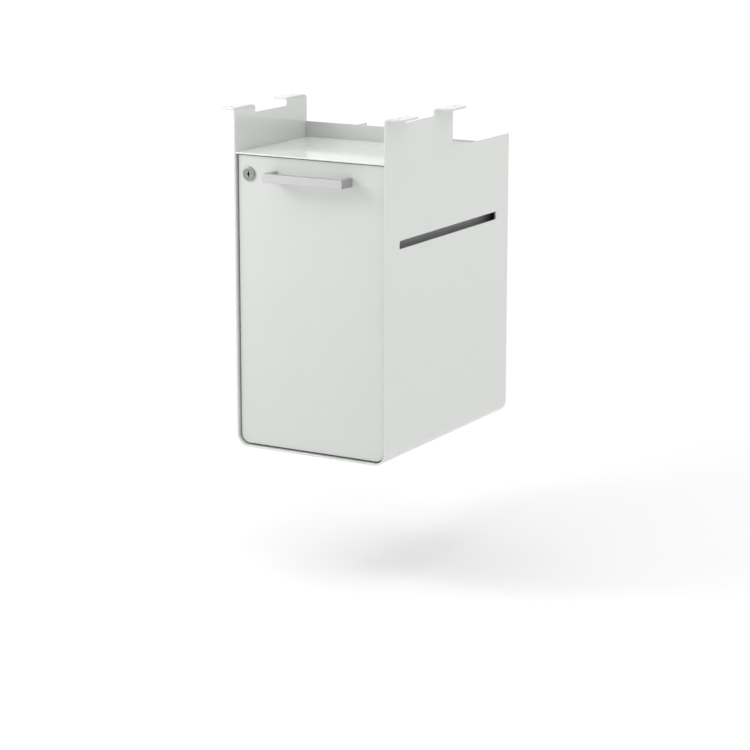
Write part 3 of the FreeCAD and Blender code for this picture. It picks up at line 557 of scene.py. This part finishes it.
def screw_head(radius, height, place):
    """A domed head with a pressed cross recess, standing on local Z = 0."""
    head = bmesh.new()
    dome = [(0, height)]
    for step in range(1, DOME_RINGS + 1):
        angle = math.pi / 2 * step / DOME_RINGS
        dome.append((radius * (CROWN_RADIUS + (1 - CROWN_RADIUS) * math.sin(angle)),
                     height * (WALL_HEIGHT + (1 - WALL_HEIGHT) * math.cos(angle))))
    dome += [(radius, height * FOOT_HEIGHT), (radius * FOOT_RADIUS, 0), (0, 0)]
    turned(head, dome, place, COARSE)
    recess = bmesh.new()
    outline = cross_outline(min(RECESS_REACH, radius * RECESS_SHARE), RECESS_HALF_WIDTH)
    extruded(recess, outline, height * RECESS_FLOOR, height * RECESS_CUT_TOP, place)
    return carved(head, recess)


def screw_mesh(mesh, low, high, axis, head_height):
    """One screw along X or Y that fills a box. It points along the axis, away from its head."""
    direction = Vector(axis)
    along, across = (0, 1) if direction.x else (1, 0)
    seat = (low + high) / 2
    forward = direction[along] > 0
    seat[along] = low[along] + head_height if forward else high[along] - head_height
    radius = (high - low)[across] / 2
    length = (high - low)[along] - head_height
    head = screw_head(radius, head_height, axis_matrix(seat, -direction))
    data = bpy.data.meshes.new("head")
    head.to_mesh(data)
    head.free()
    mesh.from_mesh(data)
    bpy.data.meshes.remove(data)
    place = axis_matrix(seat, direction)
    thread(mesh, SCREW_SHANK, THREAD_DEPTH, THREAD_PITCH, -SHANK_IN_HEAD, length, place, COARSE)


def screws(node, body, slot, axis, head_height):
    """Modelled screws in the places of a CAD node's screws."""
    mesh = bmesh.new()
    for low, high in islands(node):
        screw_mesh(mesh, low, high, axis, head_height)
    piece_from(node + "_threaded", mesh, body, slot, finishes[slot], node)


def rivets(node, body, slot, side):
    """Domed rivets with a pressed dimple and a spread tail."""
    mesh = bmesh.new()
    for low, high in islands(node):
        seat = (low + high) / 2
        seat.x = low.x if side > 0 else high.x
        length = high.x - low.x
        radius = (high.y - low.y) / 2
        top = length - FLAT_HEAD
        profile = [(radius * share, length - down * MM) for share, down in RIVET_CROWN]
        profile += [
            (radius, top + RIVET_RIM),
            (radius * RIVET_SEAT, top),
            (SCREW_SHANK, top),
            (SCREW_SHANK, RIVET_TAIL),
        ]
        profile += [(radius * share, up * MM) for share, up in RIVET_SPREAD]
        turned(mesh, profile, axis_matrix(seat, (side, 0, 0)), COARSE)
    piece_from(node + "_domed", mesh, body, slot, finishes[slot], node)


def buffers(node, body, slot):
    """Rubber buffers with a collar against the panel and a ribbed, rounded nose."""
    mesh = bmesh.new()
    for low, high in islands(node):
        foot = (low + high) / 2
        foot.y = high.y
        length = high.y - low.y
        radius = (high.x - low.x) / 2
        profile = [(radius * across, length * along) for across, along in BUFFER_OUTLINE]
        turned(mesh, profile, axis_matrix(foot, (0, -1, 0)), COARSE)
    piece_from(node + "_moulded", mesh, body, slot, finishes[slot], node)


# ---------------------------------------------------------------- lock

def lock_centre(y):
    """The point of the lock's axis at the given Y."""
    low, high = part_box("lock_plug")
    return Vector(((low.x + high.x) / 2, y, (low.z + high.z) / 2))


def lock_housing():
    """Face ring with a rolled edge, on a barrel with turned grooves."""
    low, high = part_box("lock_housing")
    face_radius = (high.x - low.x) / 2
    place = axis_matrix(lock_centre(low.y), (0, 1, 0))
    length = high.y - low.y
    bore = PLUG_RADIUS + PLUG_PLAY
    profile = [
        (bore, BORE_EDGE_DEPTH),
        (bore + BORE_EDGE_WIDTH, BORE_EDGE_START),
        (face_radius - FACE_FLAT_INSET, 0),
    ]
    for step in range(ROLL_RINGS + 1):
        angle = math.pi / 2 * step / ROLL_RINGS
        profile.append((face_radius - FACE_ROLL + FACE_ROLL * math.sin(angle),
                        FACE_ROLL_START + FACE_ROLL - FACE_ROLL * math.cos(angle)))
    profile += [
        (face_radius, FACE_THICKNESS - BACK_EDGE_DEPTH),
        (face_radius - BACK_EDGE_WIDTH, FACE_THICKNESS),
        (BARREL_RADIUS, FACE_THICKNESS),
    ]
    steps = round((length - FACE_THICKNESS) / BARREL_PITCH * 2)
    for step in range(1, steps):
        along = FACE_THICKNESS + (length - FACE_THICKNESS) * step / steps
        depth = BARREL_GROOVE if step % 2 else 0
        profile.append((BARREL_RADIUS - depth, along))
    profile += [(BARREL_RADIUS - BARREL_END, length), (bore, length)]
    mesh = bmesh.new()
    turned(mesh, profile, place, FINE, closed=True)
    piece_from("lock_housing_turned", mesh, "drawer", "lock_plating",
               finishes["lock_plating"], "lock_housing")


def keyway_outline():
    """An upright slot in local XY with a bulge at mid-height."""
    points = []
    for side in (1, -1):
        for step in range(-KEYWAY_STEPS, KEYWAY_STEPS + 1):
            z = side * KEYWAY_HALF_HEIGHT * step / KEYWAY_STEPS
            bulge = max(0.0, KEYWAY_EYE ** 2 - z ** 2) ** 0.5
            points.append((side * max(bulge, KEYWAY_HALF_WIDTH), z))
    return points


def lock_plug():
    """Turned plug with a chamfered, slightly dished face and a carved keyway."""
    low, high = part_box("lock_plug")
    place = axis_matrix(lock_centre(low.y), (0, 1, 0))
    length = high.y - low.y
    profile = [
        (0, DISH_DEPTH),
        (PLUG_RADIUS * DISH_EDGE, DISH_EDGE_DEPTH),
        (PLUG_RADIUS * DISH_RIM, 0),
        (PLUG_RADIUS - PLUG_EDGE, 0),
        (PLUG_RADIUS, PLUG_EDGE),
        (PLUG_RADIUS, length - PLUG_EDGE),
        (PLUG_RADIUS - PLUG_EDGE, length),
        (0, length),
    ]
    plug = bmesh.new()
    turned(plug, profile, place, FINE)
    keyway = bmesh.new()
    extruded(keyway, keyway_outline(), -KEYWAY_OVERCUT, KEYWAY_DEPTH, place)
    mesh = carved(plug, keyway)
    piece_from("lock_plug_carved", mesh, "lock_core", "lock_plating",
               finishes["lock_plating"], "lock_plug")


def wafers():
    """Thin plates that reach into the keyway from above and below, behind the plug's face."""
    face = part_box("lock_plug")[0].y
    place = axis_matrix(lock_centre(face), (0, 1, 0))
    mesh = bmesh.new()
    for index in range(WAFERS):
        start = WAFER_START + index * WAFER_PITCH
        side = -1 if index % 2 else 1
        edge = side * KEYWAY_HALF_HEIGHT
        near = side * (KEYWAY_HALF_HEIGHT - WAFER_REACHES[index % 2])
        outline = [(-WAFER_HALF_WIDTH, near), (WAFER_HALF_WIDTH, near),
                   (WAFER_HALF_WIDTH, edge), (-WAFER_HALF_WIDTH, edge)]
        extruded(mesh, outline, start, start + WAFER_THICKNESS, place)
    piece_from("lock_wafers", mesh, "lock_core", "zinc_fastener", finishes["zinc_fastener"])


def lock_nut():
    """Hexagon nut with turned chamfers on both faces."""
    low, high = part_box("lock_nut")
    place = axis_matrix(lock_centre(low.y), (0, 1, 0))
    thickness = high.y - low.y
    corner = (high.x - low.x) / 2
    flat = corner * math.cos(math.pi / 6)
    hexagon = bmesh.new()
    outline = [(corner * math.cos(math.pi / 3 * i), corner * math.sin(math.pi / 3 * i))
               for i in range(6)]
    extruded(hexagon, outline, 0, thickness, place)
    blank = bmesh.new()
    drop = (corner - flat) * NUT_CONE_DROP
    bore = BARREL_RADIUS + PLUG_PLAY
    profile = [
        (bore, NUT_BORE_EDGE),
        (bore + NUT_BORE_EDGE, 0),
        (flat * NUT_CONE_TOP, 0),
        (corner * NUT_CONE_FOOT, drop),
        (corner * NUT_CONE_FOOT, thickness - drop),
        (flat * NUT_CONE_TOP, thickness),
        (bore + NUT_BORE_EDGE, thickness),
        (bore, thickness - NUT_BORE_EDGE),
    ]
    turned(blank, profile, place, FINE, closed=True)
    mesh = carved(blank, hexagon, "INTERSECT")
    piece_from("lock_nut_chamfered", mesh, "drawer", "zinc_fastener",
               finishes["zinc_fastener"], "lock_nut")


# ---------------------------------------------------------------- studio

def studio_world():
    """A bright band low round the studio, dim above it and bright again overhead."""
    world = bpy.data.worlds.new("studio")
    world.use_nodes = True
    nodes, links = world.node_tree.nodes, world.node_tree.links
    place = nodes.new("ShaderNodeTexCoord").outputs["Generated"]
    split = nodes.new("ShaderNodeSeparateXYZ")
    links.new(place, split.inputs["Vector"])
    ramp = nodes.new("ShaderNodeValToRGB")
    stops = ramp.color_ramp.elements
    stops[0].position, stops[1].position = SKY[0][0], SKY[-1][0]
    for height, _ in SKY[1:-1]:
        stops.new(height)
    for stop, (_, level) in zip(stops, SKY):
        grey = level / SKY_STRENGTH
        stop.color = (grey, grey, grey, 1)
    links.new(split.outputs["Z"], ramp.inputs["Fac"])
    background = nodes["Background"]
    links.new(ramp.outputs["Color"], background.inputs["Color"])
    background.inputs["Strength"].default_value = SKY_STRENGTH
    bpy.context.scene.world = world


def soft_light(name, direction, distance, size, power):
    """A square panel light that looks at the middle of the cabinet."""
    light = bpy.data.lights.new(name, "AREA")
    light.shape = "SQUARE"
    light.size = size
    light.energy = power
    lamp = bpy.data.objects.new(name, light)
    bpy.context.scene.collection.objects.link(lamp)
    target = (cad_low + cad_high) / 2
    lamp.location = target + Vector(direction).normalized() * distance
    lamp.rotation_euler = (target - lamp.location).to_track_quat("-Z", "Y").to_euler()


def studio_floor_piece():
    """A large flat sheet under the hanging cabinet."""
    mesh = bmesh.new()
    bmesh.ops.create_grid(mesh, x_segments=FLOOR_CELLS, y_segments=FLOOR_CELLS,
                          size=FLOOR_HALF_SIZE)
    bmesh.ops.translate(mesh, verts=mesh.verts, vec=(0, 0, FLOOR_Z))
    data = bpy.data.meshes.new("floor")
    mesh.to_mesh(data)
    mesh.free()
    data.materials.append(studio_floor("floor_white"))
    floor = bpy.data.objects.new("floor", data)
    bpy.context.scene.collection.objects.link(floor)


def studio_camera():
    """Looks at the cabinet from the right and a little above, through a long lens."""
    camera = bpy.data.objects.new("camera", bpy.data.cameras.new("camera"))
    bpy.context.scene.collection.objects.link(camera)
    camera.data.lens = CAMERA_LENS
    camera.location = CAMERA_PLACE
    camera.rotation_euler = Euler((math.radians(90 - CAMERA_DOWN), 0, math.radians(CAMERA_TURN)))
    camera.data.clip_end = CAMERA_CLIP
    bpy.context.scene.camera = camera


# ---------------------------------------------------------------- build

lock_axis = lock_centre(0.0)
finishes = {
    "shell_coat": powder_coat("shell_coat", scaled(COAT, 0.93), 0.36, 0.46, gloss=1.0),
    # The tray's colour is lifted well above the shell's: painted light on its upward face.
    "tray_coat": powder_coat("tray_coat", scaled(COAT, 1.16), 0.2, 0.26, gloss=0.5, blur=0.08,
                             peel=0.001 * MM),
    # The rear cover's darker colour is painted shade for its place in the recess at the back.
    "cover_coat_painted_shade": powder_coat("cover_coat_painted_shade", scaled(COAT, 0.86), 0.36, 0.46, gloss=0.2),
    "front_coat": powder_coat("front_coat", scaled(COAT, 0.905), 0.3, 0.4),
    # The handle's second colour is painted shade for its top, bottom and ends.
    "handle_coat": satin_handle_painted_shade("handle_satin_painted_shade", (0.53, 0.533, 0.528), (0.315, 0.32, 0.315)),
    "box_coat": powder_coat("box_coat", (0.54, 0.55, 0.54), 0.45, 0.55),
    "zinc_steel": galvanised("zinc_steel", (0.62, 0.63, 0.64)),
    "runner_steel": rolled_steel("runner_steel", (0.6, 0.61, 0.62)),
    "cage_steel": pressed_strip("cage_steel", (0.3, 0.29, 0.26)),
    "ball_steel": polished_ball("ball_steel", (0.72, 0.73, 0.74)),
    "lock_plating": turned_plating("lock_plating", (0.34, 0.35, 0.34), lock_axis),
    "zinc_fastener": galvanised("zinc_fastener", (0.55, 0.55, 0.52), 0.25, 0.4),
    "buffer_rubber": moulded_rubber("buffer_rubber", (0.025, 0.025, 0.026)),
}


def coat_cad_nodes():
    """Gives every CAD node the finish of its slot, and the rear cover a less glossy one of its
    own, whose darker colour is painted shade.
    """
    for row in frame["record"]["subparts"]:
        piece = frame["nodes"][row["node"]]
        piece.data.materials.clear()
        piece.data.materials.append(finishes[row["material_slot"]])
    cover = frame["nodes"]["rear_cover"]
    cover.data.materials[0] = finishes["cover_coat_painted_shade"]


def fit_hardware():
    """Builds the fasteners, buffers and lock in place of the plain CAD nodes."""
    for side, sign in (("right", 1), ("left", -1)):
        screws("runner_screws_" + side, "cabinet", "zinc_fastener", (sign, 0, 0), FLAT_HEAD)
        rivets("runner_rivets_" + side, "drawer", "zinc_fastener", sign)
    screws("cover_screws", "cabinet", "zinc_fastener", (0, -1, 0), PAN_HEAD)
    screws("front_screws", "drawer", "zinc_fastener", (0, -1, 0), PAN_HEAD)
    screws("handle_screws", "drawer", "zinc_fastener", (0, -1, 0), PAN_HEAD)
    screws("lock_cam_screw", "lock_core", "zinc_fastener", (0, -1, 0), PAN_HEAD)
    buffers("closing_buffers", "cabinet", "buffer_rubber")
    lock_housing()
    lock_plug()
    wafers()
    lock_nut()


coat_cad_nodes()
fit_hardware()

bpy.context.scene.view_settings.view_transform = "Standard"
studio_world()
studio_floor_piece()
soft_light("key_front", KEY_DIRECTION, KEY_DISTANCE, KEY_SIZE, KEY_POWER)
soft_light("fill_right", FILL_DIRECTION, FILL_DISTANCE, FILL_SIZE, FILL_POWER)
studio_camera()
